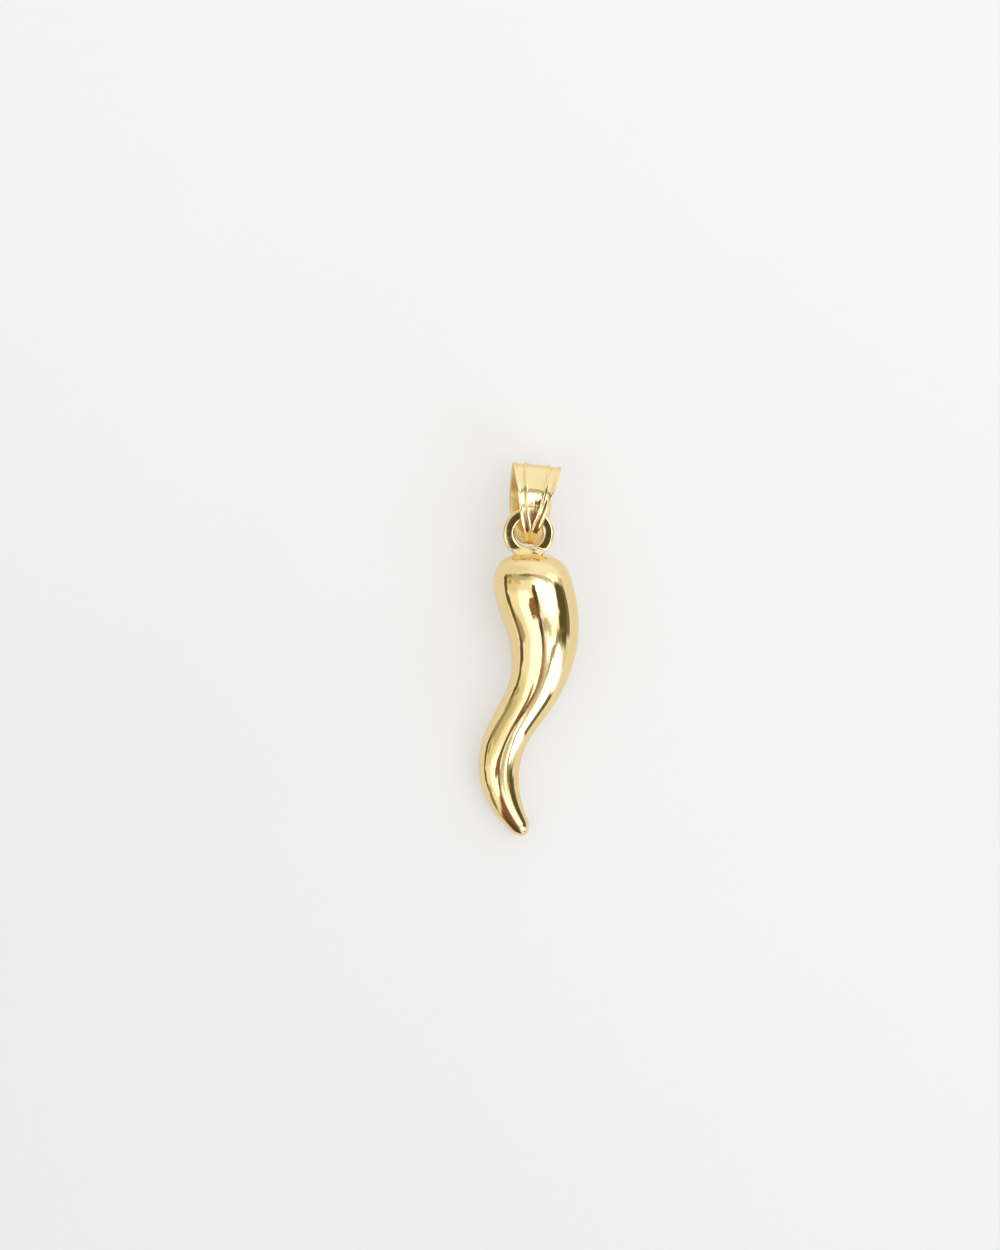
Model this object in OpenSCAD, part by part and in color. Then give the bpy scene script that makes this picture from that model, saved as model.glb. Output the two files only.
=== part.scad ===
// Cornicello: a curved, hollow gold horn with a ring soldered into its crown, and a fluted bail loose in the ring.
// The pendant lies on its back. X is across it, +Y is towards the bail and +Z is up from the surface it lies on.
// Lengths are in millimetres.

/* [Horn] */
// Length of the horn from crown to tip
horn_len = 22.6; // [16:0.1:34]
// Width of the horn just below the crown
horn_w = 6.3; // [4.5:0.1:8]
// Side to side travel of the horn's middle line
horn_sway = 3.55; // [2:0.05:5]
// Thickness of the horn as a share of its width
horn_flat = 0.88; // [0.75:0.01:1]
// Length of the domed crown
crown_len = 3.7; // [2.5:0.1:5]
// Length of the rounding at the tip
tip_len = 0.95; // [0.5:0.05:1.5]
// Thickness of the gold wall
wall = 0.35; // [0.2:0.01:0.5]

/* [Ring] */
// Inner diameter of the ring
ring_hole = 2.25; // [1.8:0.01:2.8]
// Width of the ring's wire, seen from the front
wire_w = 0.9; // [0.7:0.01:1.1]
// Thickness of the ring's wire, front to back
wire_t = 0.86; // [0.7:0.01:1.1]
// Radius of the wire's rounded edges
wire_round = 0.2; // [0.15:0.01:0.34]
// Depth of the ring in the crown
ring_sink = 0.39; // [0.2:0.01:0.5]
// Distance of the ring from the middle of the crown, to the right
ring_shift = -0.16; // [-0.4:0.02:0.4]

/* [Bail] */
// Height of the bail from its soldered end to the top of the bend
bail_h = 6.5; // [5.5:0.02:8]
// Depth of the bail's loop, front to back
bail_d = 4.75; // [4:0.05:5.5]
// Width of the bail's strip at the bend
bail_w = 3.8; // [3:0.05:5]
// Thickness of the strip
bail_t = 0.28; // [0.2:0.01:0.34]
// Depth of the flutes in the strip
bail_relief = 0.2; // [0.1:0.01:0.3]
// Height of the solder where the two leaves meet
solder_h = 0.7; // [0.5:0.05:1]
// Lean of the bail to the right, in degrees
bail_lean = 6; // [0:0.5:10]
// Turn of the bail's front to the right, in degrees
bail_turn = 4; // [0:0.5:6]
// Swing of the bail, back on the ring's wire, in degrees
bail_swing = 2; // [0:0.5:5]
// Distance of the bail from the top of the ring, to the right
bail_shift = 0.3; // [0:0.05:0.5]

/* [Fit] */
// Gap between the ring's wire and the front leaf that lies over it
leaf_gap = 0.3; // [0.2:0.01:0.4]
// Gap between the bail's soldered end and the far side of the ring's hole
end_gap = 0.26; // [0.2:0.01:0.5]

/* [Hidden] */
gold = [0.86, 0.68, 0.34];

// Middle line and width of the horn, from crown to tip. Shares of its length, its sway and its width.
ALONG = 0;
SWAY = 1;
WIDTH = 2;
horn_rows = [
    [0.0, 0.000, 1.120],
    [0.1, 0.000, 0.995],
    [0.2, 0.215, 1.000],
    [0.3, 0.320, 0.890],
    [0.4, 0.255, 0.770],
    [0.5, 0.055, 0.630],
    [0.6, -0.390, 0.545],
    [0.7, -0.695, 0.555],
    [0.8, -0.730, 0.510],
    [0.9, -0.545, 0.400],
    [1.0, -0.105, 0.195]
];
// How square the crown and the tip are: 2 is an ellipse
crown_power = 2.6;
tip_power = 2.2;
shell_rings = 58;
shell_sides = 36;
void_rings = 30;
void_sides = 20;

// The bail's strip, from its soldered end up the front, over the bend and down the back.
// Shares of the bail's height and depth, then of its width and of the ring's hole, then the place of
// the ribs as a share of the strip's half width.
UP = 0;
OUT = 1;
BROAD = 2;
NECK = 3;
RIB = 4;
bail_rows = [
    [-0.040, -0.070, 0.00, 0.22, 0.02],
    [0.070, 0.055, 0.00, 0.28, 0.02],
    [0.179, 0.180, 0.00, 0.66, 0.06],
    [0.314, 0.261, 0.23, 0.50, 0.42],
    [0.454, 0.333, 0.64, 0.00, 0.50],
    [0.601, 0.351, 0.73, 0.00, 0.50],
    [0.742, 0.315, 0.86, 0.00, 0.50],
    [0.871, 0.235, 0.96, 0.00, 0.50],
    [0.964, 0.149, 1.00, 0.00, 0.50],
    [1.004, 0.029, 1.00, 0.00, 0.50],
    [0.991, -0.113, 1.00, 0.00, 0.50],
    [0.942, -0.273, 1.00, 0.00, 0.50],
    [0.850, -0.439, 0.98, 0.00, 0.50],
    [0.726, -0.598, 0.95, 0.00, 0.50],
    [0.594, -0.681, 0.90, 0.00, 0.50],
    [0.439, -0.619, 0.86, 0.00, 0.50],
    [0.291, -0.480, 0.66, 0.23, 0.43],
    [0.070, -0.350, 0.00, 1.04, 0.10]
];
// The strip's outer face from its middle to its edge: shares of the way to the rib and of the way
// from the rib to the edge, and how far the face lies below the rib as a share of the relief.
TO_RIB = 0;
TO_EDGE = 1;
BELOW = 2;
face_rows = [
    [0.00, 0.00, 0.55],
    [0.60, 0.00, 0.52],
    [0.86, 0.00, 0.42],
    [1.00, 0.00, 0.00],
    [1.00, 0.22, 0.90],
    [1.00, 0.62, 0.78],
    [1.00, 0.90, 0.30],
    [1.00, 1.00, 0.40]
];
// The strip's inner face from its edge to its middle: shares of the half width, of the relief and of
// the thickness.
BESIDE = 0;
FALL = 1;
THICK = 2;
inner_rows = [
    [0.97, 1.00, 0.75],
    [0.60, 1.00, 1.00],
    [0.00, 0.60, 1.00]
];
bail_rings = 54;
// The stretch of the loop that the solder fills, to each side of the soldered end
solder_share = 0.1;

// Weights of the four rows around a point of a smooth curve
function weights(f) = [
    pow(1 - f, 3) / 6,
    (3 * pow(f, 3) - 6 * pow(f, 2) + 4) / 6,
    (-3 * pow(f, 3) + 3 * pow(f, 2) + 3 * f + 1) / 6,
    pow(f, 3) / 6
];
function end_row(rows, i) =
    i < 0 ? 2 * rows[0] - rows[1]
    : i >= len(rows) ? 2 * rows[len(rows) - 1] - rows[len(rows) - 2]
    : rows[i];
function ring_row(rows, i) = rows[(i + len(rows)) % len(rows)];
// A smooth curve through a table of rows, from its first to its last
function open_curve(rows, t) =
    let (
        steps = len(rows) - 1,
        i = min(floor(t * steps), steps - 1),
        w = weights(t * steps - i)
    )
    w[0] * end_row(rows, i - 1) + w[1] * end_row(rows, i)
    + w[2] * end_row(rows, i + 1) + w[3] * end_row(rows, i + 2);
// The same for a table whose last row leads back to its first
function closed_curve(rows, t) =
    let (
        place = (t - floor(t)) * len(rows),
        i = floor(place),
        w = weights(place - i)
    )
    w[0] * ring_row(rows, i - 1) + w[1] * ring_row(rows, i)
    + w[2] * ring_row(rows, i + 1) + w[3] * ring_row(rows, i + 2);
nudge = 0.0005;
function unit(v) = v / norm(v);
function sums(list) = [for (i = 0, s = 0; i < len(list); s = s + list[i], i = i + 1) s];
function low_of(points, axis) = min([for (p = points) p[axis]]);
function high_of(points, axis) = max([for (p = points) p[axis]]);

// Horn
function spine(t) =
    let (r = open_curve(horn_rows, t))
    [r[SWAY] * horn_sway, -r[ALONG] * horn_len];
function dome(distance, reach, power) =
    distance >= reach ? 1
    : pow(1 - pow(1 - max(distance, 0) / reach, power), 1 / power);
// Sections of a horn that starts and ends short of the full one and is slimmer by a skin: each has its
// middle point, the direction across it and its half width. The first and the last are points.
MIDDLE = 0;
ACROSS = 1;
HALF = 2;
function horn_sections(count, short_start, short_end, skin) =
    let (
        first = short_start / horn_len,
        last = 1 - short_end / horn_len,
        ts = [for (i = [0:count]) first + (last - first) * (1 - cos(180 * i / count)) / 2],
        mids = [for (t = ts) spine(t)],
        far = sums([for (i = [0:count]) i == count ? 0 : norm(mids[i + 1] - mids[i])]),
        whole = far[count]
    )
    [for (i = [0:count])
        let (
            d = unit(spine(min(ts[i] + nudge, 1)) - spine(max(ts[i] - nudge, 0))),
            half = open_curve(horn_rows, ts[i])[WIDTH] * horn_w / 2 - skin
        )
        [
            mids[i], [-d.y, d.x],
            half * dome(far[i], crown_len - short_start, crown_power)
                * dome(whole - far[i], tip_len, tip_power)
        ]];
function section_points(s, sides) =
    [for (k = [0:sides - 1])
        let (side = s[HALF] * cos(360 * k / sides), rise = s[HALF] * horn_flat * sin(360 * k / sides))
        [s[MIDDLE].x + s[ACROSS].x * side, s[MIDDLE].y + s[ACROSS].y * side, rise]];
function flat_point(p) = [p.x, p.y, 0];
function horn_points(sections, sides) =
    let (last = len(sections) - 1)
    concat(
        [flat_point(sections[0][MIDDLE])],
        [for (i = [1:last - 1]) each section_points(sections[i], sides)],
        [flat_point(sections[last][MIDDLE])]
    );
// Faces of a closed tube of rings with a point at each end
function tube_faces(rings, sides) =
    let (last = 1 + (rings - 1) * sides, tip = 1 + rings * sides)
    concat(
        [for (k = [0:sides - 1]) [0, 1 + k, 1 + (k + 1) % sides]],
        [for (i = [0:rings - 2], k = [0:sides - 1])
            let (a = 1 + i * sides, n = (k + 1) % sides)
            each [[a + k, a + sides + k, a + n], [a + n, a + sides + k, a + sides + n]]],
        [for (k = [0:sides - 1]) [tip, last + (k + 1) % sides, last + k]]
    );
outer_sections = horn_sections(shell_rings, 0, 0, 0);
outer_points = horn_points(outer_sections, shell_sides);
void_points = horn_points(horn_sections(void_rings, wall, tip_len, wall), void_sides);

// How the horn lies: it tilts until its belly and its tip both touch the surface
function tilted(p, a) = [p.x, p.y * cos(a) - p.z * sin(a), p.y * sin(a) + p.z * cos(a)];
under = [for (s = outer_sections) [s[MIDDLE].x, s[MIDDLE].y, -s[HALF] * horn_flat]];
belly = [for (p = under) if (p.y > -horn_len / 2) p];
tail = [for (p = under) if (p.y <= -horn_len / 2) p];
function low_when_tilted(points, a) = low_of([for (p = points) tilted(p, a)], 2);
most_tilt = 30;
halvings = 24;
function lying_tilt(low, high, tries) =
    let (a = (low + high) / 2)
    tries == 0 ? a
    : low_when_tilted(tail, a) > low_when_tilted(belly, a) ? lying_tilt(a, high, tries - 1)
    : lying_tilt(low, a, tries - 1);
horn_tilt = lying_tilt(0, most_tilt, halvings);
horn_rise = -low_when_tilted(under, horn_tilt);

// Ring
ring_r = (ring_hole + wire_w) / 2;
ring_up = ring_r + wire_w / 2 - ring_sink;
ring_rise = sqrt(ring_r * ring_r - bail_shift * bail_shift);
wire_hold = tilted([ring_shift + bail_shift, ring_up + ring_rise, 0], horn_tilt) + [0, 0, horn_rise];

// Bail
// The table of the strip with its back leaf bent this much deeper than the rows say
function bent_rows(reach) =
    [for (r = bail_rows) [r[UP], r[OUT] < 0 ? r[OUT] * reach : r[OUT], r[BROAD], r[NECK], r[RIB]]];
function strip_at(rows, t) = let (r = closed_curve(rows, t)) [r[UP] * bail_h, r[OUT] * bail_d];
function strip_half(t) = let (r = closed_curve(bail_rows, t)) (r[BROAD] * bail_w + r[NECK] * ring_hole) / 2;
function strip_relief(t) = bail_relief * 2 * strip_half(t) / bail_w;
function strip_normal(rows, t) =
    let (d = unit(strip_at(rows, t + nudge) - strip_at(rows, t - nudge)))
    [-d.y, d.x];
// A point of the strip, this far across it and this far below its outer face
function strip_point(rows, t, across, down) =
    let (p = strip_at(rows, t) - strip_normal(rows, t) * down)
    [across, p.x, p.y];
function face_point(rows, t, row, side) =
    let (rib = closed_curve(bail_rows, t)[RIB], share = row[TO_RIB] * rib + row[TO_EDGE] * (1 - rib))
    strip_point(rows, t, side * share * strip_half(t), row[BELOW] * strip_relief(t));
function inner_point(rows, t, row, side) =
    strip_point(
        rows, t, side * row[BESIDE] * strip_half(t),
        row[FALL] * strip_relief(t) + row[THICK] * bail_t
    );
// Near the soldered end the inner face runs in to the top of the solder
function solder_point(rows, row, side) =
    let (
        ends = (inner_point(rows, solder_share, row, side) + inner_point(rows, -solder_share, row, side)) / 2,
        nose = strip_point(rows, 0, side * row[BESIDE] * strip_half(0), row[FALL] * strip_relief(0))
    )
    nose + unit([0, ends.y - nose.y, ends.z - nose.z]) * solder_h;
function inside_point(rows, t, row, side) =
    let (from_end = min(t, 1 - t) / solder_share, edge = t < 0.5 ? solder_share : -solder_share)
    from_end >= 1 ? inner_point(rows, t, row, side)
    : from_end * inner_point(rows, edge, row, side) + (1 - from_end) * solder_point(rows, row, side);
face_last = len(face_rows) - 1;
inner_last = len(inner_rows) - 1;
function outer_section(rows, t) = concat(
    [for (i = [face_last:-1:0]) face_point(rows, t, face_rows[i], -1)],
    [for (i = [1:face_last]) face_point(rows, t, face_rows[i], 1)]
);
function strip_section(rows, t) = concat(
    outer_section(rows, t),
    [for (i = [0:inner_last]) inside_point(rows, t, inner_rows[i], 1)],
    [for (i = [inner_last - 1:-1:0]) inside_point(rows, t, inner_rows[i], -1)]
);
strip_sides = 2 * (face_last + inner_last + 1);
// Faces of a tube of rings that closes on itself
function loop_faces(rings, sides) =
    [for (i = [0:rings - 1], k = [0:sides - 1])
        let (a = i * sides, b = ((i + 1) % rings) * sides, n = (k + 1) % sides)
        each [[a + k, b + k, a + n], [a + n, b + k, b + n]]];

// The ring's wire passes through the loop this far up the bail, just under the front leaf
hold_up = ring_r + ring_hole / 2 - end_gap;
function share_at(up, low, high, tries) =
    let (t = (low + high) / 2)
    tries == 0 ? t
    : strip_at(bail_rows, t).x < up ? share_at(up, t, high, tries - 1)
    : share_at(up, low, t, tries - 1);
front_share = 0.25;
hold_share = share_at(hold_up, 0, front_share, halvings);
leaf_depth = max([for (r = inner_rows) r[FALL] * strip_relief(hold_share) + r[THICK] * bail_t]);
hold_out = strip_at(bail_rows, hold_share).y - leaf_depth - leaf_gap - wire_t / 2;
function turned(p, a) = [p.x * cos(a) + p.z * sin(a), p.y, p.z * cos(a) - p.x * sin(a)];
function leaned(p, a) = [p.x * cos(a) + p.y * sin(a), p.y * cos(a) - p.x * sin(a), p.z];
function seated(p) =
    wire_hold + leaned(turned(tilted(p - [0, hold_up, hold_out], -bail_swing), bail_turn), bail_lean);
// How the bail lies: its back leaf is bent just deep enough to touch the surface
function back_low(rows) = low_of(
    [for (i = [bail_rings / 2:bail_rings - 1], p = outer_section(rows, i / bail_rings)) seated(p)], 2
);
most_reach = 3;
function lying_reach(low, high, tries) =
    let (reach = (low + high) / 2)
    tries == 0 ? reach
    : back_low(bent_rows(reach)) > 0 ? lying_reach(reach, high, tries - 1)
    : lying_reach(low, reach, tries - 1);
lying_rows = bent_rows(lying_reach(0, most_reach, halvings));
bail_points = [for (i = [0:bail_rings - 1], p = strip_section(lying_rows, i / bail_rings)) seated(p)];

// The origin is under the middle of the whole pendant
lying_points = concat([for (p = outer_points) tilted(p, horn_tilt)], bail_points);
middle = [
    (low_of(lying_points, 0) + high_of(lying_points, 0)) / 2,
    (low_of(lying_points, 1) + high_of(lying_points, 1)) / 2,
    0
];

module horn_body() {
    difference() {
        polyhedron(outer_points, tube_faces(shell_rings - 1, shell_sides));
        polyhedron(void_points, tube_faces(void_rings - 1, void_sides));
    }
}

module ring() {
    translate([ring_shift, ring_up, 0])
        rotate_extrude($fn = 72)
            translate([ring_r, 0]) {
                square([wire_w - 2 * wire_round, wire_t], center = true);
                square([wire_w, wire_t - 2 * wire_round], center = true);
                for (x = [-1, 1], y = [-1, 1])
                    translate([x * (wire_w / 2 - wire_round), y * (wire_t / 2 - wire_round)])
                        circle(r = wire_round, $fn = 32);
            }
}

module horn() {
    color(gold)
        translate([0, 0, horn_rise] - middle)
            rotate([horn_tilt, 0, 0]) {
                horn_body();
                ring();
            }
}

module bail() {
    color(gold)
        translate(-middle)
            polyhedron(bail_points, loop_faces(bail_rings, strip_sides));
}

horn();
bail();
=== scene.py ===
"""Cornicello horn pendant in polished yellow gold, lying on a pale table and seen from straight above."""

import math

import bpy
import numpy as np
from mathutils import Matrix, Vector


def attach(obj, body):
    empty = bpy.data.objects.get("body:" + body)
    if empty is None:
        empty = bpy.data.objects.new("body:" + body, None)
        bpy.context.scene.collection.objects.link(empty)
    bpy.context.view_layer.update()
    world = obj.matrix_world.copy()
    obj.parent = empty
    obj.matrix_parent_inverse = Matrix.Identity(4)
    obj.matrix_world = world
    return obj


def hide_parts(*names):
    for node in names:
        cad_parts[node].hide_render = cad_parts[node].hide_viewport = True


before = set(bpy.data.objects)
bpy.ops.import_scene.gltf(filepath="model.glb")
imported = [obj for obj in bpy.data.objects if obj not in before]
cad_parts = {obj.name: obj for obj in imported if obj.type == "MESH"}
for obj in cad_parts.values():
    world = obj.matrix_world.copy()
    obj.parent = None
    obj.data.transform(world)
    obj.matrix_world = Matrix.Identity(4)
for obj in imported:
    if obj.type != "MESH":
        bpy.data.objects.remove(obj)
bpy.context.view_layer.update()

MM = 0.001

# Named sizes in millimetres, the same as in the part's source
horn_len, horn_w, horn_sway, horn_flat = 22.6, 6.3, 3.55, 0.88
crown_len, tip_len = 3.7, 0.95
ring_hole, wire_w, wire_t, wire_round, ring_sink, ring_shift = 2.25, 0.9, 0.86, 0.2, 0.39, -0.16
bail_h, bail_d, bail_w, bail_t, bail_relief, solder_h = 6.5, 4.75, 3.8, 0.28, 0.2, 0.7
bail_lean, bail_turn, bail_swing, bail_shift = 6.0, 4.0, 2.0, 0.3
leaf_gap, end_gap = 0.3, 0.26
crown_power, tip_power = 2.6, 2.2
solder_share = 0.1

# Middle line and width of the horn: shares of its length, its sway and its width
HORN_ROWS = [
    [0.0, 0.000, 1.120],
    [0.1, 0.000, 0.995],
    [0.2, 0.215, 1.000],
    [0.3, 0.320, 0.890],
    [0.4, 0.255, 0.770],
    [0.5, 0.055, 0.630],
    [0.6, -0.390, 0.545],
    [0.7, -0.695, 0.555],
    [0.8, -0.730, 0.510],
    [0.9, -0.545, 0.400],
    [1.0, -0.105, 0.195],
]
# The bail's strip: shares of its height, its depth, its width and the ring's hole, and the place of the ribs
BAIL_ROWS = [
    [-0.040, -0.070, 0.00, 0.22, 0.02],
    [0.070, 0.055, 0.00, 0.28, 0.02],
    [0.179, 0.180, 0.00, 0.66, 0.06],
    [0.314, 0.261, 0.23, 0.50, 0.42],
    [0.454, 0.333, 0.64, 0.00, 0.50],
    [0.601, 0.351, 0.73, 0.00, 0.50],
    [0.742, 0.315, 0.86, 0.00, 0.50],
    [0.871, 0.235, 0.96, 0.00, 0.50],
    [0.964, 0.149, 1.00, 0.00, 0.50],
    [1.004, 0.029, 1.00, 0.00, 0.50],
    [0.991, -0.113, 1.00, 0.00, 0.50],
    [0.942, -0.273, 1.00, 0.00, 0.50],
    [0.850, -0.439, 0.98, 0.00, 0.50],
    [0.726, -0.598, 0.95, 0.00, 0.50],
    [0.594, -0.681, 0.90, 0.00, 0.50],
    [0.439, -0.619, 0.86, 0.00, 0.50],
    [0.291, -0.480, 0.66, 0.23, 0.43],
    [0.070, -0.350, 0.00, 1.04, 0.10],
]
# The strip's outer face: share of the way to the rib, from the rib to the edge, and depth below the rib
FACE_ROWS = [
    [0.00, 0.00, 0.55],
    [0.60, 0.00, 0.52],
    [0.86, 0.00, 0.42],
    [1.00, 0.00, 0.00],
    [1.00, 0.22, 0.90],
    [1.00, 0.62, 0.78],
    [1.00, 0.90, 0.30],
    [1.00, 1.00, 0.40],
]
# The strip's inner face: shares of the half width, the relief and the thickness
INNER_ROWS = [
    [0.97, 1.00, 0.75],
    [0.60, 1.00, 1.00],
    [0.00, 0.60, 1.00],
]
NUDGE = 0.0005
HALVINGS = 24
most_tilt, most_reach = 30, 3
pose_rings, pose_sides = 58, 36
lying_count, lying_face, lying_inner = 54, 60, 3


# Smooth curves through tables of rows
def weights(f):
    return np.array([(1 - f) ** 3, 3 * f**3 - 6 * f**2 + 4, -3 * f**3 + 3 * f**2 + 3 * f + 1, f**3]) / 6


def open_curve(rows, t):
    rows = np.array(rows)
    padded = np.vstack([2 * rows[0] - rows[1], rows, 2 * rows[-1] - rows[-2], rows[-1]])
    place = np.clip(np.asarray(t, float), 0, 1) * (len(rows) - 1)
    i = np.minimum(place.astype(int), len(rows) - 2)
    w = weights(place - i)
    return sum(w[k][:, None] * padded[i + k] for k in range(4))


def closed_curve(rows, t):
    rows = np.array(rows)
    place = (np.asarray(t, float) % 1) * len(rows)
    i = place.astype(int)
    w = weights(place - i)
    return sum(w[k][:, None] * rows[(i + k - 1) % len(rows)] for k in range(4))


def spine(t):
    r = open_curve(HORN_ROWS, t)
    return np.stack([r[:, 1] * horn_sway, -r[:, 0] * horn_len], 1)


def dome(distance, reach, power):
    x = np.clip(distance / reach, 0, 1)
    return (1 - (1 - x) ** power) ** (1 / power)


def horn_sections(count):
    """Middle points, directions across and half widths of the horn's sections."""
    t = (1 - np.cos(np.pi * np.arange(count + 1) / count)) / 2
    mids = spine(t)
    far = np.concatenate([[0], np.cumsum(np.linalg.norm(np.diff(mids, axis=0), axis=1))])
    d = spine(np.minimum(t + NUDGE, 1)) - spine(np.maximum(t - NUDGE, 0))
    d /= np.linalg.norm(d, axis=1)[:, None]
    half = open_curve(HORN_ROWS, t)[:, 2] * horn_w / 2
    half = half * dome(far, crown_len, crown_power) * dome(far[-1] - far, tip_len, tip_power)
    return mids, np.stack([-d[:, 1], d[:, 0]], 1), half


def horn_rings(count, sides):
    mids, across, half = horn_sections(count)
    a = 2 * np.pi * np.arange(sides) / sides
    side = half[:, None] * np.cos(a)
    points = np.zeros((count + 1, sides, 3))
    points[:, :, :2] = mids[:, None, :] + across[:, None, :] * side[:, :, None]
    points[:, :, 2] = half[:, None] * horn_flat * np.sin(a)
    return points


def tilted(p, degrees):
    a = math.radians(degrees)
    x, y, z = p[..., 0], p[..., 1], p[..., 2]
    return np.stack([x, y * math.cos(a) - z * math.sin(a), y * math.sin(a) + z * math.cos(a)], -1)


def halved(low, high, goes_up):
    """The place between two limits where a test turns from yes to no."""
    for _ in range(HALVINGS):
        middle = (low + high) / 2
        if goes_up(middle):
            low = middle
        else:
            high = middle
    return (low + high) / 2


# How the horn lies: on its belly and its tip
pose_mids, _, pose_half = horn_sections(pose_rings)
under = np.column_stack([pose_mids, -pose_half * horn_flat])
belly, tail = under[under[:, 1] > -horn_len / 2], under[under[:, 1] <= -horn_len / 2]
horn_tilt = halved(0, most_tilt, lambda a: tilted(tail, a)[:, 2].min() > tilted(belly, a)[:, 2].min())
horn_rise = -tilted(under, horn_tilt)[:, 2].min()

ring_r = (ring_hole + wire_w) / 2
ring_up = ring_r + wire_w / 2 - ring_sink
ring_rise = math.sqrt(ring_r**2 - bail_shift**2)
wire_hold = tilted(np.array([ring_shift + bail_shift, ring_up + ring_rise, 0.0]), horn_tilt)
wire_hold = wire_hold + np.array([0, 0, horn_rise])


# The bail's strip
strip_rows = np.array(BAIL_ROWS)


def bend(reach):
    """Bends the back leaf this much deeper than the rows say."""
    out = np.array(BAIL_ROWS)[:, 1]
    strip_rows[:, 1] = np.where(out < 0, out * reach, out)


def strip_at(t):
    return closed_curve(strip_rows, t)[:, :2] * [bail_h, bail_d]


def strip_half(t):
    r = closed_curve(BAIL_ROWS, t)
    return (r[:, 2] * bail_w + r[:, 3] * ring_hole) / 2


def strip_relief(t):
    return bail_relief * 2 * strip_half(t) / bail_w


def strip_points(t, across, down):
    """Points of the strip this far across it and this far below its outer face, a row of them for each t."""
    p = strip_at(t)
    d = strip_at(t + NUDGE) - strip_at(t - NUDGE)
    d /= np.linalg.norm(d, axis=1)[:, None]
    normal = np.stack([-d[:, 1], d[:, 0]], 1)
    out = np.empty(across.shape + (3,))
    out[..., 0] = across
    out[..., 1] = p[:, None, 0] - normal[:, None, 0] * down
    out[..., 2] = p[:, None, 1] - normal[:, None, 1] * down
    return out


def rounded(values, reach):
    """A row of heights with its corners rounded over a few points."""
    kernel = np.hanning(2 * reach + 3)[1:-1]
    padded = np.pad(values, ((0, 0), (reach, reach)), mode="reflect", reflect_type="odd")
    return np.apply_along_axis(lambda v: np.convolve(v, kernel / kernel.sum(), "valid"), 1, padded)


def strip_face(t, count, soft):
    """Points over the outer face from left to right, with the ridges rounded over this many points."""
    rib = closed_curve(BAIL_ROWS, t)[:, 4]
    rows = np.array(FACE_ROWS)
    knots = rows[:, 0] * rib[:, None] + rows[:, 1] * (1 - rib[:, None])
    share = np.linspace(0, 1, count)
    below = np.array([np.interp(share, k, rows[:, 2]) for k in knots])
    both = np.hstack([below[:, :0:-1], below])
    if soft:
        both = rounded(both, soft)
    side = np.hstack([-share[:0:-1], share])
    return strip_points(t, side * strip_half(t)[:, None], both * strip_relief(t)[:, None])


def strip_inside(t, count):
    """Points back along the inner face. The two ends of the strip share one line of solder."""
    inner = np.array(INNER_ROWS)
    shares = np.linspace(inner[0, 0], 0, count)
    fall = np.interp(-shares, -inner[:, 0], inner[:, 1])
    thick = np.interp(-shares, -inner[:, 0], inner[:, 2])
    shares = np.concatenate([shares, -shares[-2::-1]])
    fall, thick = (np.concatenate([v, v[-2::-1]]) for v in (fall, thick))

    def at(t, thickness):
        across = shares * strip_half(t)[:, None]
        return strip_points(t, across, fall * strip_relief(t)[:, None] + thick * thickness)

    end = at(np.array([solder_share, 1 - solder_share]), bail_t)
    nose = at(np.zeros(1), 0)[0]
    run = end.mean(0) - nose
    run[:, 0] = 0
    solder = nose + solder_h * run / np.linalg.norm(run, axis=1)[:, None]
    edge = np.where((t < 0.5)[:, None, None], end[0], end[1])
    from_end = np.clip(np.minimum(t, 1 - t) / solder_share, 0, 1)[:, None, None]
    return np.where(from_end >= 1, at(t, bail_t), from_end * edge + (1 - from_end) * solder)


def strip_sections(t, face_count, inner_count, soft):
    """Closed sections of the strip: the outer face, then the inner face."""
    return strip_face(t, face_count, soft), strip_inside(t, inner_count)


# How the bail hangs in the ring and lies on the table
# The front leaf passes the wire between the strip's start and this share of it
FRONT_HALFWAY = 0.25
hold_up = ring_r + ring_hole / 2 - end_gap
hold_share = halved(0, FRONT_HALFWAY, lambda t: strip_at(np.array([t]))[0, 0] < hold_up)
hold_at = np.array([hold_share])
leaf_depth = max(r[1] * strip_relief(hold_at)[0] + r[2] * bail_t for r in INNER_ROWS)
hold_out = strip_at(hold_at)[0, 1] - leaf_depth - leaf_gap - wire_t / 2


def seated(p):
    p = tilted(p - [0, hold_up, hold_out], -bail_swing)
    a, b = math.radians(bail_turn), math.radians(bail_lean)
    x = p[..., 0] * math.cos(a) + p[..., 2] * math.sin(a)
    y = p[..., 1]
    z = p[..., 2] * math.cos(a) - p[..., 0] * math.sin(a)
    return wire_hold + np.stack([x * math.cos(b) + y * math.sin(b), y * math.cos(b) - x * math.sin(b), z], -1)


def lying_points(reach):
    bend(reach)
    face, inside = strip_sections(np.arange(lying_count) / lying_count, lying_face, lying_inner, 0)
    return seated(np.hstack([face, inside]).reshape(-1, 3))


bail_reach = halved(0, most_reach, lambda reach: lying_points(reach)[:, 2].min() > 0)
bail_pose = lying_points(bail_reach)
bail_low, bail_high = bail_pose.min(0), bail_pose.max(0)
horn_pose = tilted(horn_rings(pose_rings, pose_sides).reshape(-1, 3), horn_tilt)
middle = (np.minimum(bail_low, horn_pose.min(0)) + np.maximum(bail_high, horn_pose.max(0))) / 2
middle[2] = 0


# Meshes
def mesh_object(name, parts):
    """One smooth object out of parts, each a list of points and a list of faces."""
    points, faces, start = [], [], 0
    for part_points, part_faces in parts:
        points.append(part_points)
        faces += [tuple(int(i) + start for i in f) for f in part_faces]
        start += len(part_points)
    mesh = bpy.data.meshes.new(name)
    mesh.from_pydata((np.vstack(points) * MM).tolist(), [], faces)
    mesh.validate()
    mesh.update()
    mesh.polygons.foreach_set("use_smooth", [True] * len(mesh.polygons))
    o = bpy.data.objects.new(name, mesh)
    bpy.context.scene.collection.objects.link(o)
    return o


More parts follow.
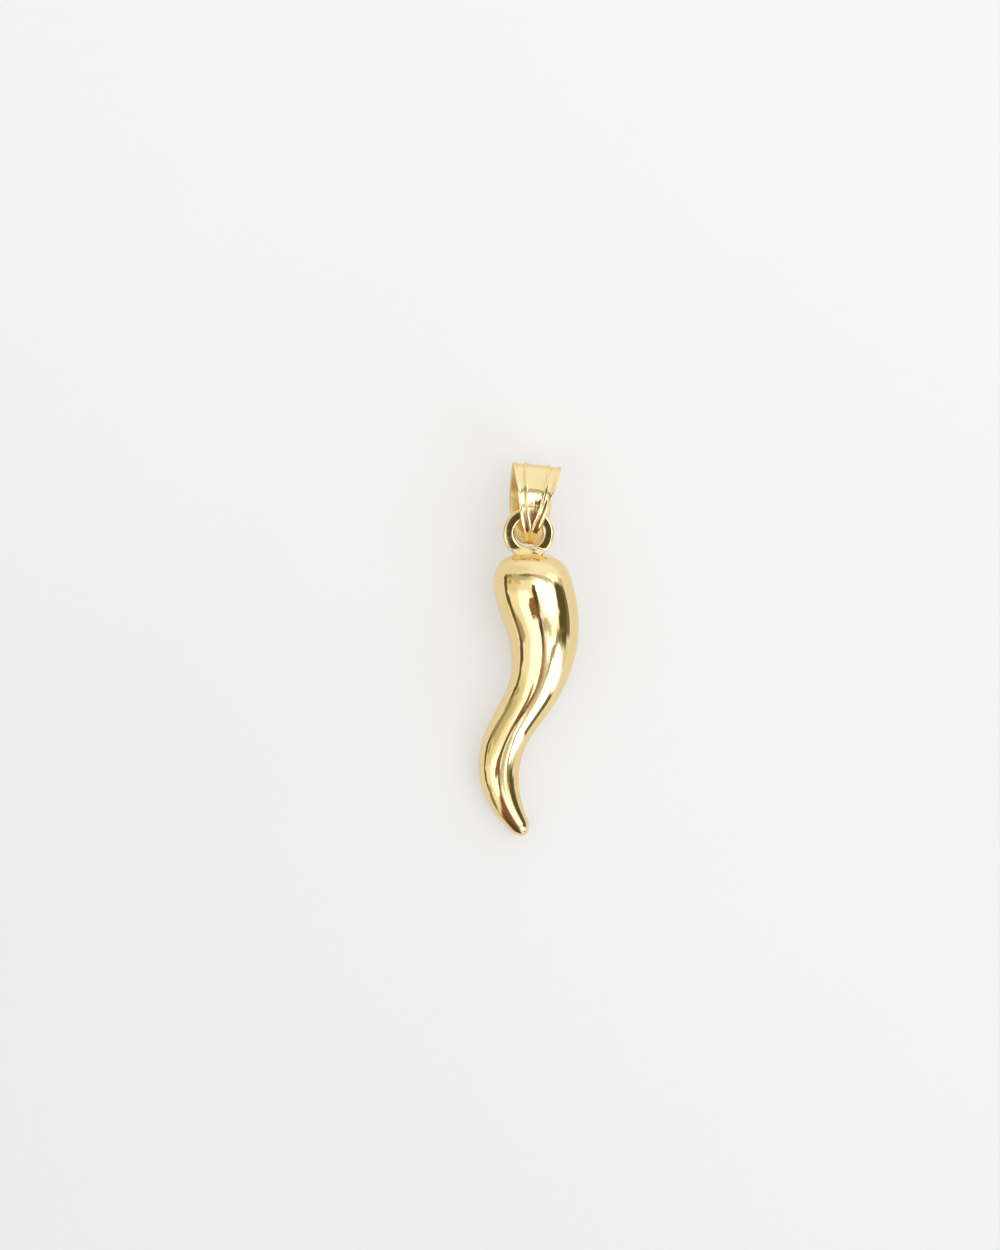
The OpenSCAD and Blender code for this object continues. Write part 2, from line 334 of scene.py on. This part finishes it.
def grid_faces(rings, sides, closed):
    """Quads between closed rings of points. A closed grid also joins the last ring to the first."""
    r = np.arange(rings if closed else rings - 1)[:, None]
    s = np.arange(sides)[None, :]
    n, m = (s + 1) % sides, (r + 1) % rings
    quads = np.stack([r * sides + s, m * sides + s, m * sides + n, r * sides + n], -1)
    return quads.reshape(-1, 4).tolist()


def horn_mesh():
    count, sides = 300, 144
    rings = horn_rings(count, sides)
    first, last = rings[0, 0], rings[-1, 0]
    inner = rings[1:-1]
    points = np.vstack([first, inner.reshape(-1, 3), last])
    n = count - 1
    faces = [[i + 1 for i in f] for f in grid_faces(n, sides, False)]
    faces += [[0, 1 + k, 1 + (k + 1) % sides] for k in range(sides)]
    end = 1 + (n - 1) * sides
    faces += [[len(points) - 1, end + (k + 1) % sides, end + k] for k in range(sides)]
    return points, faces


def ring_mesh():
    """The ring: a wire with a flattened front and back, whose ends run into the crown."""
    around, corner = 288, 9
    profile = []
    for cx, cy, start in ((1, 1, 0), (-1, 1, 90), (-1, -1, 180), (1, -1, 270)):
        for k in range(corner):
            a = math.radians(start + 90 * k / (corner - 1))
            out = cx * (wire_w / 2 - wire_round) + wire_round * math.cos(a)
            up = cy * (wire_t / 2 - wire_round) + wire_round * math.sin(a)
            profile.append([out, up])
    profile = np.array(profile)
    a = 2 * np.pi * np.arange(around) / around
    r = ring_r + profile[:, 0]
    x, y = ring_shift + np.cos(a)[:, None] * r, ring_up + np.sin(a)[:, None] * r
    points = np.stack([x, y, np.broadcast_to(profile[:, 1], x.shape)], -1)
    faces = [f[::-1] for f in grid_faces(around, len(profile), True)]
    return points.reshape(-1, 3), faces


def lying(p):
    return tilted(p, horn_tilt) + [0, 0, horn_rise] - middle


BAIL_COUNT, BAIL_FACE, BAIL_INNER, BAIL_SOFT = 324, 33, 11, 1
face_sides, inside_sides = 2 * BAIL_FACE - 1, 2 * BAIL_INNER - 1
bail_sides = face_sides + inside_sides


def bail_mesh():
    face, inside = strip_sections(np.arange(BAIL_COUNT) / BAIL_COUNT, BAIL_FACE, BAIL_INNER, BAIL_SOFT)
    sections = np.concatenate([face, inside], 1)
    points = seated(sections.reshape(-1, 3)) - middle
    return points, grid_faces(BAIL_COUNT, bail_sides, True)


body_points, body_faces = horn_mesh()
wire_points, wire_faces = ring_mesh()
horn = mesh_object("horn_polished", [(lying(body_points), body_faces), (lying(wire_points), wire_faces)])
bail = mesh_object("bail_polished", [bail_mesh()])


# Materials
def add(tree, kind, **values):
    node = tree.nodes.new(kind)
    for key, value in values.items():
        setattr(node, key, value)
    return node


def put(tree, socket, value):
    """Links a socket's value, or sets a constant straight on it."""
    if isinstance(value, bpy.types.NodeSocket):
        tree.links.new(value, socket)
    elif socket.type == "RGBA":
        socket.default_value = (*value, 1)
    else:
        socket.default_value = value


def maths(tree, operation, *values):
    node = add(tree, "ShaderNodeMath", operation=operation)
    for i, v in enumerate(values):
        put(tree, node.inputs[i], v)
    return node.outputs[0]


def stepped(tree, value, low, high, to_low=0.0, to_high=1.0):
    """Runs smoothly from one value to another between two limits."""
    node = add(tree, "ShaderNodeMapRange", interpolation_type="SMOOTHSTEP")
    for i, v in enumerate((value, low, high, to_low, to_high)):
        put(tree, node.inputs[i], v)
    return node.outputs[0]


def mixed(tree, share, a, b):
    node = add(tree, "ShaderNodeMix", data_type="RGBA")
    put(tree, node.inputs[0], share)
    put(tree, node.inputs[6], a)
    put(tree, node.inputs[7], b)
    return node.outputs[2]


def noise(tree, place, scale, detail=2.0, rough=0.5):
    node = add(tree, "ShaderNodeTexNoise")
    put(tree, node.inputs["Vector"], place)
    node.inputs["Scale"].default_value = scale
    node.inputs["Detail"].default_value = detail
    node.inputs["Roughness"].default_value = rough
    return node.outputs[0]


def stretched(tree, place, turn, scale):
    node = add(tree, "ShaderNodeMapping")
    put(tree, node.inputs["Vector"], place)
    node.inputs["Rotation"].default_value = tuple(math.radians(v) for v in turn)
    node.inputs["Scale"].default_value = scale
    return node.outputs[0]


def split(tree, vector):
    node = add(tree, "ShaderNodeSeparateXYZ")
    put(tree, node.inputs[0], vector)
    return node.outputs


def bumped(tree, height, strength, distance, normal=None, invert=False):
    """The normal bent by a height, given in millimetres."""
    node = add(tree, "ShaderNodeBump", invert=invert)
    put(tree, node.inputs["Height"], height)
    node.inputs["Strength"].default_value = strength
    node.inputs["Distance"].default_value = distance * MM
    if normal is not None:
        put(tree, node.inputs["Normal"], normal)
    return node.outputs[0]


def scratches(tree, place):
    """Hairline scratches in three directions."""
    hairs = []
    for turn, scale in (((20, 35, 12), 1.0), ((-50, 15, 70), 1.031), ((70, -30, 140), 1.077)):
        lines = noise(tree, stretched(tree, place, turn, (900, 9000, 9000)), scale, detail=3, rough=0.6)
        hairs.append(stepped(tree, lines, low=0.66, high=0.74))
    return maths(tree, "MAXIMUM", maths(tree, "MAXIMUM", hairs[0], hairs[1]), hairs[2])


def solder_run(tree, place, foot):
    """The normal where solder has run up the ring's foot, which is at this y in millimetres."""
    low, high, uneven, thick = foot - 0.18, foot + 0.74, 0.7, 0.30
    rough_edge = noise(tree, place, scale=900, detail=1)
    edge = maths(tree, "MULTIPLY_ADD", rough_edge, uneven * MM, split(tree, place)[1])
    height = stepped(tree, edge, low * MM, high * MM, to_low=1.0, to_high=0.0)
    return bumped(tree, height, strength=1.0, distance=thick)


# The bail's inner face gets a deeper, more amber gold than the rest: painted glow, standing in for light
# bounced between the gold leaves
GOLD, INSIDE_GOLD_PAINTED_GLOW = (0.88, 0.69, 0.345), (0.90, 0.66, 0.28)
# What smudges do to the colour, and what smudges and scratches add to the roughness
DULLED, SMUDGE_DULLS, SCRATCH_DULLS = (0.977, 0.964, 0.942), 0.05, 0.09


def gold(name, tone, wave, ripple, shine, foot=None):
    """Polished yellow gold with scratches, finger smudges and the slight waves of hand finishing."""
    m = bpy.data.materials.new(name)
    m.use_nodes = True
    t = m.node_tree
    t.nodes.clear()
    place = add(t, "ShaderNodeTexCoord").outputs["Object"]
    smudge = stepped(t, noise(t, place, scale=420, detail=4, rough=0.6), low=0.42, high=0.72)
    scratch = scratches(t, place)
    rough = maths(t, "MULTIPLY_ADD", smudge, SMUDGE_DULLS, shine)
    rough = maths(t, "MULTIPLY_ADD", scratch, SCRATCH_DULLS, rough)
    tone = mixed(t, smudge, tone, tuple(value * share for value, share in zip(tone, DULLED)))

    fine_share = 0.12
    waves = maths(t, "MULTIPLY_ADD", noise(t, place, scale=1100), fine_share, noise(t, place, scale=260))
    if ripple:
        small = noise(t, stretched(t, place, (0, 0, 4), (2600, 900, 1500)), scale=1.0)
        waves = maths(t, "MULTIPLY_ADD", small, ripple, waves)
    normal = solder_run(t, place, foot) if foot is not None else None
    normal = bumped(t, waves, strength=1.0, distance=wave, normal=normal)
    normal = bumped(t, scratch, strength=0.25, distance=0.002, normal=normal, invert=True)

    shader = add(t, "ShaderNodeBsdfPrincipled")
    put(t, shader.inputs["Base Color"], tone)
    put(t, shader.inputs["Roughness"], rough)
    put(t, shader.inputs["Normal"], normal)
    shader.inputs["Metallic"].default_value = 1.0
    out = add(t, "ShaderNodeOutputMaterial")
    put(t, out.inputs[0], shader.outputs[0])
    return m


def table_top():
    """A pale table top with painted light: it glows, more towards the right and the top, and its glow fills
    the shadow.
    """
    m = bpy.data.materials.new("table_top")
    m.use_nodes = True
    t = m.node_tree
    t.nodes.clear()
    place = add(t, "ShaderNodeTexCoord").outputs["Object"]
    # Painted light: the table glows, more towards the right and the top, with a faint random unevenness in
    # the glow
    cloud = stepped(t, noise(t, place, scale=14, detail=3), low=0.3, high=0.7, to_low=-0.008, to_high=0.008)
    normal = bumped(t, noise(t, place, scale=2600, detail=3, rough=0.6), strength=0.15, distance=0.02)
    to_bright_corner = (0.62, 0.60, 0.0)
    along = add(t, "ShaderNodeVectorMath", operation="DOT_PRODUCT")
    put(t, along.inputs[0], place)
    along.inputs[1].default_value = to_bright_corner
    painted_light_slope = stepped(t, along.outputs["Value"], low=-0.07, high=0.07, to_low=0.413, to_high=0.517)
    painted_glow = maths(t, "ADD", painted_light_slope, cloud)
    shader = add(t, "ShaderNodeBsdfPrincipled")
    # The table's own colour is kept dark and its glow gives the rest of its brightness, so shadows on it stay
    # faint: painted light
    put(t, shader.inputs["Base Color"], (0.400, 0.393, 0.386))
    put(t, shader.inputs["Normal"], normal)
    put(t, shader.inputs["Emission Strength"], painted_glow)
    shader.inputs["Emission Color"].default_value = (1.0, 0.97, 0.91, 1)
    shader.inputs["Roughness"].default_value = 0.7
    shader.inputs["Specular IOR Level"].default_value = 0.2
    out = add(t, "ShaderNodeOutputMaterial")
    put(t, out.inputs[0], shader.outputs[0])
    return m


ring_foot = lying(np.array([ring_shift, ring_up - ring_r, 0.0]))[1]
horn.data.materials.append(gold("yellow_gold", GOLD, wave=0.014, ripple=0, shine=0.045, foot=ring_foot))
bail.data.materials.append(gold("yellow_gold_bail", GOLD, wave=0.010, ripple=1.6, shine=0.05))
# Rougher gold for the bail's inner face, in the deeper amber tone that is painted glow
bail.data.materials.append(gold("yellow_gold_inside_painted_glow", INSIDE_GOLD_PAINTED_GLOW, wave=0.010, ripple=0, shine=0.45))
is_inside = np.arange(bail_sides) >= face_sides - 1
bail.data.polygons.foreach_set("material_index", np.tile(is_inside, BAIL_COUNT).astype(np.int32))

for piece, node in ((horn, "horn"), (bail, "bail")):
    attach(piece, "root")
    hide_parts(node)


# The table
def flat(name, half, material):
    corners = [(-half, -half, 0), (half, -half, 0), (half, half, 0), (-half, half, 0)]
    mesh = bpy.data.meshes.new(name)
    mesh.from_pydata(corners, [], [(0, 1, 2, 3)])
    mesh.materials.append(material)
    o = bpy.data.objects.new(name, mesh)
    bpy.context.scene.collection.objects.link(o)
    return o


table = flat("table", half=2.0, material=table_top())


# The room round the pendant
# It shows only as reflections, so what stands there is a guess. Places in it are directions, in degrees from
# straight up, to the right and to the top of the picture. A pale wall goes all round, a little warmer on the
# left. Patches lie over it, later ones on top. A patch has its form, its centre, its half sizes, its turn,
# how soft its edge is, its colour and its share.
WARM_WALL, COOL_WALL = (1.05, 1.05, 1.02), (1.07, 1.14, 1.26)
FORM, RIGHT, UP, WIDE, TALL, TURN, SOFT, COLOUR, SHARE = range(9)
PATCHES = [
    # Pale walls and ceiling
    ["round", -60, 48, 55, 22, 0, 0.7, (0.80, 0.80, 0.74), 0.6],
    ["round", -58, -1, 19, 14, 0, 0.7, (0.82, 0.80, 0.64), 0.85],
    ["round", -22, -23, 21, 14, -8, 0.5, (1.75, 1.85, 2.05), 1.0],
    ["round", 28, 0, 27, 17, 0, 0.6, (2.10, 2.35, 2.85), 1.0],
    ["round", 40, -38, 30, 14, -20, 0.5, (2.30, 2.60, 3.20), 1.0],
    ["round", 54, 24, 15, 13, 0, 0.6, (1.60, 1.72, 1.90), 0.9],
    # The dark, warm shape towards the bottom of the picture, such as a person
    ["square", -24, -64, 45, 16, 38.7, 0.35, (0.34, 0.15, 0.09), 1.0],
    ["round", -15, -90, 36, 42, 0, 0.4, (0.10, 0.08, 0.05), 1.0],
    ["round", 17, -50, 9, 12, 0, 0.8, (0.70, 0.56, 0.42), 0.8],
    # Dark shapes low on the right
    ["square", 80, -2, 17, 18, 0, 0.5, (0.22, 0.21, 0.15), 1.0],
    ["square", 66, -6, 12, 21, -10, 0.5, (0.11, 0.11, 0.06), 1.0],
    ["round", 84, -34, 17, 9, 0, 0.7, (0.80, 0.80, 0.74), 0.9],
    ["round", 82, 22, 12, 7, 10, 0.6, (0.80, 0.52, 0.48), 0.85],
    # Grey band towards the top of the picture, such as the edge of a ceiling
    ["round", -38, 16, 36, 9, -3, 0.7, (0.48, 0.47, 0.36), 0.85],
    ["round", -11, 22, 23, 4.0, 3, 0.7, (0.17, 0.16, 0.11), 0.85],
    ["round", 30, 17, 26, 6, -8, 0.8, (0.50, 0.50, 0.46), 0.8],
    # Dark shapes low on the left
    ["round", -68, 18, 12, 7, 0, 0.7, (0.30, 0.28, 0.18), 0.85],
    ["round", -79, 2, 6.5, 22, 0, 0.6, (0.14, 0.11, 0.05), 1.0],
    ["round", -74, -28, 6.5, 18, 35, 0.6, (0.14, 0.11, 0.05), 1.0],
    ["round", -60, -50, 12, 11, 0, 0.7, (0.18, 0.16, 0.08), 0.9],
    ["round", -62, -74, 18, 14, 0, 0.8, (0.36, 0.33, 0.22), 0.7],
    ["round", -57, -37, 9, 3.5, 0, 0.7, (0.40, 0.36, 0.24), 0.9],
    ["round", -44, 7, 14, 6, -30, 0.8, (0.66, 0.62, 0.44), 0.8],
    ["round", -64, 3, 6, 6, 0, 0.8, (0.40, 0.36, 0.22), 0.9],
    # Thin dark shapes between the lights on the right
    ["round", 38, -26, 27, 3.0, 20, 0.7, (0.24, 0.20, 0.12), 0.9],
    ["round", 60, -57, 14, 7.5, -20, 0.6, (0.16, 0.16, 0.08), 1.0],
    ["round", 14, -34, 8, 4.5, 0, 0.8, (0.62, 0.58, 0.46), 0.7],
    # What is nearest to the camera, such as hands and a phone
    ["round", 15, -21.5, 14, 2.4, -3, 0.8, (0.42, 0.40, 0.34), 0.75],
    ["round", -2, -41.5, 11, 8, 0, 0.3, (0.27, 0.13, 0.08), 0.95],
    ["round", -8, -18.5, 11, 4.8, 15, 0.4, (0.33, 0.17, 0.10), 1.0],
    ["round", -0.5, -23, 4, 4.8, 0, 0.4, (0.12, 0.10, 0.08), 1.0],
    ["round", 1.5, -8.5, 5.5, 9.5, 3, 0.4, (0.11, 0.09, 0.065), 1.0],
]
# The patches' edges waver over up to this many degrees, since nothing in a room has edges as even as theirs
WAVER = 9.0
ROUND_CORNER = 0.3
NO_ZERO = 0.0001


def direction_in_degrees(t):
    """The way that is looked at, laid out flat: its degrees from straight up, to the right and to the top."""
    x, y, z = split(t, add(t, "ShaderNodeTexCoord").outputs["Generated"])
    level = maths(t, "SQRT", maths(t, "ADD", maths(t, "MULTIPLY", x, x), maths(t, "MULTIPLY", y, y)))
    angle = maths(t, "MULTIPLY", maths(t, "ARCTAN2", level, z), 180 / math.pi)
    scale = maths(t, "DIVIDE", angle, maths(t, "MAXIMUM", level, NO_ZERO))
    flat_way = add(t, "ShaderNodeCombineXYZ")
    right = maths(t, "MULTIPLY", x, scale)
    put(t, flat_way.inputs[0], right)
    put(t, flat_way.inputs[1], maths(t, "MULTIPLY", y, scale))
    return flat_way.outputs[0], right


def wavering(t, flat_way):
    waver = add(t, "ShaderNodeTexNoise", noise_dimensions="2D")
    put(t, waver.inputs["Vector"], flat_way)
    waver.inputs["Scale"].default_value = 0.11
    waver.inputs["Detail"].default_value = 3.0
    spot = add(t, "ShaderNodeVectorMath", operation="MULTIPLY_ADD")
    put(t, spot.inputs[0], waver.outputs["Color"])
    spot.inputs[1].default_value = (WAVER, WAVER, 0.0)
    put(t, spot.inputs[2], flat_way)
    return spot.outputs[0]


def patch_share(t, spot, row):
    """How much a patch covers at a spot, from its share inside to nothing outside."""
    place = add(t, "ShaderNodeMapping", vector_type="TEXTURE")
    put(t, place.inputs["Vector"], spot)
    place.inputs["Location"].default_value = (row[RIGHT] + WAVER / 2, row[UP] + WAVER / 2, 0)
    place.inputs["Rotation"].default_value = (0, 0, math.radians(row[TURN]))
    place.inputs["Scale"].default_value = (row[WIDE], row[TALL], 1)
    if row[FORM] == "square":
        side = add(t, "ShaderNodeVectorMath", operation="ABSOLUTE")
        put(t, side.inputs[0], place.outputs[0])
        parts = split(t, side.outputs[0])
        far = maths(t, "SMOOTH_MAX", parts[0], parts[1], ROUND_CORNER)
    else:
        length = add(t, "ShaderNodeVectorMath", operation="LENGTH")
        put(t, length.inputs[0], place.outputs[0])
        far = length.outputs["Value"]
    return stepped(t, far, 1 - row[SOFT] / 2, 1 + row[SOFT] / 2, row[SHARE], 0.0)


def room():
    world = bpy.data.worlds.new("room")
    world.use_nodes = True
    t = world.node_tree
    t.nodes.clear()
    flat_way, right = direction_in_degrees(t)
    spot = wavering(t, flat_way)
    picture = mixed(t, stepped(t, right, low=-50, high=30), WARM_WALL, COOL_WALL)
    for row in PATCHES:
        picture = mixed(t, patch_share(t, spot, row), picture, row[COLOUR])
    back = add(t, "ShaderNodeBackground")
    put(t, back.inputs["Color"], picture)
    back.inputs["Strength"].default_value = 1.0
    out = add(t, "ShaderNodeOutputWorld")
    put(t, out.inputs[0], back.outputs[0])
    bpy.context.scene.world = world


room()

# A soft lamp beside the camera lights the table and isn't seen in the gold
lamp = bpy.data.lights.new("lamp", "AREA")
lamp.shape = "DISK"
lamp.size = 1.0
lamp.energy = 0.65
lamp.color = (1.0, 0.99, 0.99)
lamp_object = bpy.data.objects.new("lamp", lamp)
lamp_object.location = (0.45, 0.2, 0.6)
lamp_object.rotation_euler = (Vector((0, 0, 0)) - lamp_object.location).to_track_quat("-Z", "Y").to_euler()
lamp_object.visible_glossy = False
lamp_object.visible_camera = False
bpy.context.scene.collection.objects.link(lamp_object)

# Camera: straight above the middle of the picture, which is a little left of the pendant
PX_PER_MM = 12.57
PICTURE_PX = 1250
SENSOR = 36.0
# The scale holds at this height over the table, in millimetres
LEVEL = 2.8
camera_at = Vector((-2.275, 1.948, 300.0))
data = bpy.data.cameras.new("camera")
data.sensor_width = SENSOR
data.lens = SENSOR * (camera_at.z - LEVEL) / (PICTURE_PX / PX_PER_MM)
data.clip_start, data.clip_end = 0.01, 20
camera = bpy.data.objects.new("camera", data)
camera.location = camera_at * MM
bpy.context.scene.collection.objects.link(camera)
bpy.context.scene.camera = camera

bpy.context.scene.view_settings.view_transform = "Standard"
